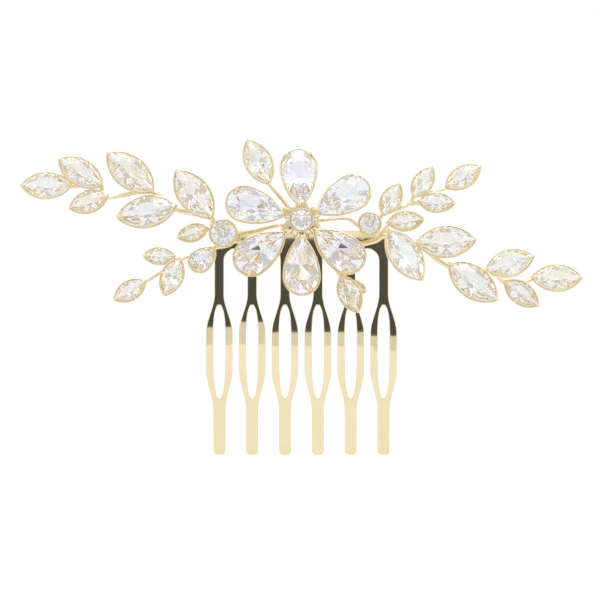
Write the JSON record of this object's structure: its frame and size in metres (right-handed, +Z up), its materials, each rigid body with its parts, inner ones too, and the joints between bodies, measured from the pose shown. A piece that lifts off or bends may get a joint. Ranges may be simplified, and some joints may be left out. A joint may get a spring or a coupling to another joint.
{
  "type": "decorative hair comb",
  "caption": "Gold-toned metal hair comb with looped teeth, carrying a flower of pear-cut stones between leaf sprays, sprigs and buds of marquise stones; slides into gathered hair.",
  "frame": {"origin": "middle of the bar's flat back, where the comb lies against the head", "axes": "+X along the bar to the right as seen from the front, +Y out of the back towards the head, +Z up, away from the teeth"},
  "size_m": [0.1181, 0.0108, 0.0666],
  "materials": {
    "gold": "bright pale gold plating",
    "crystal": "clear faceted stone"
  },
  "bodies": {
    "root": {"comb": "gold", "flower_plate": "gold", "petal_top_setting": "gold", "petal_top_stone": "crystal", "petal_upper_right_setting": "gold", "petal_upper_right_stone": "crystal", "petal_lower_right_setting": "gold", "petal_lower_right_stone": "crystal", "petal_bottom_setting": "gold", "petal_bottom_stone": "crystal", "petal_lower_left_setting": "gold", "petal_lower_left_stone": "crystal", "petal_upper_left_setting": "gold", "petal_upper_left_stone": "crystal", "centre_setting": "gold", "centre_stone": "crystal", "left_round_setting": "gold", "left_round_stone": "crystal", "right_round_setting": "gold", "right_round_stone": "crystal", "left_spray_frame": "gold", "left_spray_stone_1": "crystal", "left_spray_stone_2": "crystal", "left_spray_stone_3": "crystal", "left_spray_stone_4": "crystal", "left_spray_stone_5": "crystal", "left_spray_stone_6": "crystal", "left_spray_stone_7": "crystal", "lower_left_sprig_frame": "gold", "lower_left_sprig_stone_1": "crystal", "lower_left_sprig_stone_2": "crystal", "lower_left_sprig_stone_3": "crystal", "lower_left_sprig_stone_4": "crystal", "right_spray_frame": "gold", "right_spray_stone_1": "crystal", "right_spray_stone_2": "crystal", "right_spray_stone_3": "crystal", "right_spray_stone_4": "crystal", "right_spray_stone_5": "crystal", "right_spray_stone_6": "crystal", "right_spray_stone_7": "crystal", "upper_right_sprig_frame": "gold", "upper_right_sprig_stone_1": "crystal", "upper_right_sprig_stone_2": "crystal", "upper_right_sprig_stone_3": "crystal", "upper_right_sprig_stone_4": "crystal", "upper_left_bud_frame": "gold", "upper_left_bud_stone": "crystal", "lower_right_bud_frame": "gold", "lower_right_bud_stone_1": "crystal", "lower_right_bud_stone_2": "crystal"}
  },
  "joints": []
}
